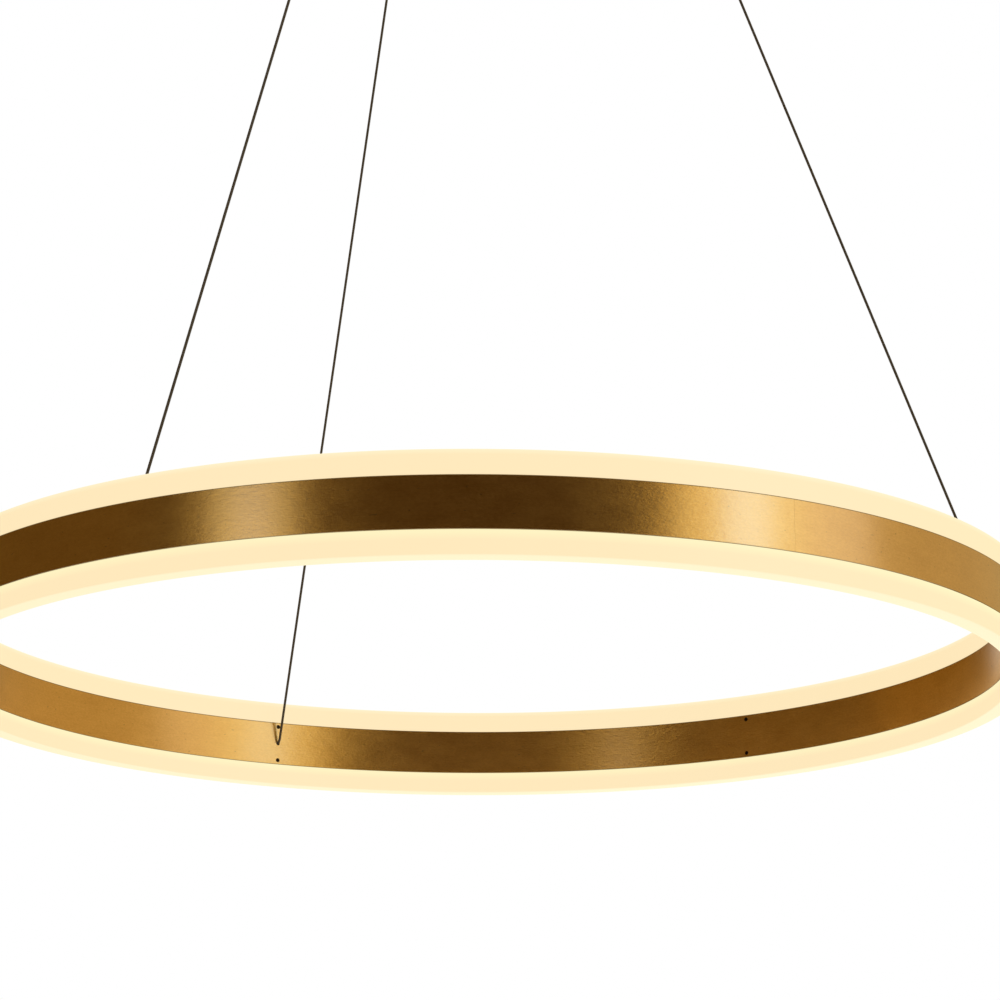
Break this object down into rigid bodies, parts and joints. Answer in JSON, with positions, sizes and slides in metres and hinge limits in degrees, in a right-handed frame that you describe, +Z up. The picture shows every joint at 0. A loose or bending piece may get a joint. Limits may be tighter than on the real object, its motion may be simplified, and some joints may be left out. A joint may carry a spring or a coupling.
{
  "type": "ring pendant light",
  "caption": "Level LED ring pendant: a brushed brass band between two lit opal diffusers, hung by thin cables from a round ceiling canopy with cable grippers.",
  "frame": {"origin": "centre of the ceiling bracket's top face, on the ring's axis, where the light meets the ceiling", "axes": "+Z up along the ring's axis; seen along +Y in the picture, with +X to the right; the bracket lies along X"},
  "size_m": [0.6, 0.6, 0.6805],
  "materials": {
    "brushed_brass": "brushed round the ring, lacquered, lightly worn",
    "turned_brass": "turned, satin",
    "bright_plated_brass": "turned, bright",
    "opal_acrylic": "opal, lit from inside, satin",
    "dark_set_screw": "black oxide",
    "coated_cable": "dark bronze plastic coat over steel wire",
    "plain_steel": "zinc plated",
    "crimp_metal": "plain",
    "led_board": "white solder mask",
    "led_lens": "yellow phosphor",
    "driver_plastic": "moulded, fine grain",
    "terminal_plastic": "moulded",
    "circuit_board": "green solder mask",
    "component_plastic": "moulded",
    "foam_tape": "foam",
    "sleeve_plastic": "shrunk sleeve",
    "brown_lead": "insulation",
    "blue_lead": "insulation",
    "green_lead": "insulation",
    "red_lead": "insulation",
    "black_lead": "insulation"
  },
  "bodies": {
    "canopy": {"canopy_cover": "brushed_brass", "ceiling_bracket": "plain_steel", "canopy_thumbscrews": "brushed_brass", "driver_case": "driver_plastic", "driver_lid": "driver_plastic", "terminal_block": "terminal_plastic", "driver_board": "circuit_board", "driver_components": "component_plastic", "mounting_tape": "foam_tape", "terminal_screws": "plain_steel", "earth_tag": "plain_steel", "earth_screw": "plain_steel", "earth_lead": "green_lead", "live_lead": "brown_lead", "neutral_lead": "blue_lead", "feed_lead_positive": "red_lead", "feed_lead_negative": "black_lead", "gripper_stud_1": "turned_brass", "gripper_stud_2": "turned_brass", "gripper_stud_3": "turned_brass", "gripper_nut_1": "turned_brass", "gripper_nut_2": "turned_brass", "gripper_nut_3": "turned_brass", "gripper_barrel_1": "turned_brass", "gripper_barrel_2": "turned_brass", "gripper_barrel_3": "turned_brass", "gripper_spring_1": "plain_steel", "gripper_spring_2": "plain_steel", "gripper_spring_3": "plain_steel", "cable_end_sleeve_1": "sleeve_plastic", "cable_end_sleeve_2": "sleeve_plastic", "cable_end_sleeve_3": "sleeve_plastic", "gripped_cable_1": "coated_cable", "gripped_cable_2": "coated_cable", "gripped_cable_3": "coated_cable", "suspension_cable_1": "coated_cable", "suspension_cable_2": "coated_cable", "suspension_cable_3": "coated_cable"},
    "ring": {"ring_profile": "brushed_brass", "upper_diffuser": "opal_acrylic", "lower_diffuser": "opal_acrylic", "upper_led_strip": "led_board", "lower_led_strip": "led_board", "upper_led_chips": "led_lens", "lower_led_chips": "led_lens", "upper_diffuser_screws": "dark_set_screw", "lower_diffuser_screws": "dark_set_screw", "ring_splice": "crimp_metal", "splice_screws": "dark_set_screw", "strip_tails": "crimp_metal", "cable_stop_1": "crimp_metal", "cable_stop_2": "crimp_metal", "cable_stop_3": "crimp_metal"},
    "release_1": {"gripper_plunger_1": "bright_plated_brass", "gripper_balls_1": "plain_steel"},
    "release_2": {"gripper_plunger_2": "bright_plated_brass", "gripper_balls_2": "plain_steel"},
    "release_3": {"gripper_plunger_3": "bright_plated_brass", "gripper_balls_3": "plain_steel"}
  },
  "joints": [
    {"name": "ring_height", "type": "slide", "parent": "canopy", "child": "ring", "axis": [0, 0, 1], "range_m": [0, 0.3], "deforming": ["suspension_cable_1", "suspension_cable_2", "suspension_cable_3"]},
    {"name": "gripper_release_1", "type": "slide", "parent": "canopy", "child": "release_1", "axis": [0, 0, 1], "range_m": [0, 0.002], "stiffness_N_per_m": 600, "springref_m": -0.002, "deforming": ["gripper_spring_1"]},
    {"name": "gripper_release_2", "type": "slide", "parent": "canopy", "child": "release_2", "axis": [0, 0, 1], "range_m": [0, 0.002], "stiffness_N_per_m": 600, "springref_m": -0.002, "deforming": ["gripper_spring_2"]},
    {"name": "gripper_release_3", "type": "slide", "parent": "canopy", "child": "release_3", "axis": [0, 0, 1], "range_m": [0, 0.002], "stiffness_N_per_m": 600, "springref_m": -0.002, "deforming": ["gripper_spring_3"]}
  ]
}
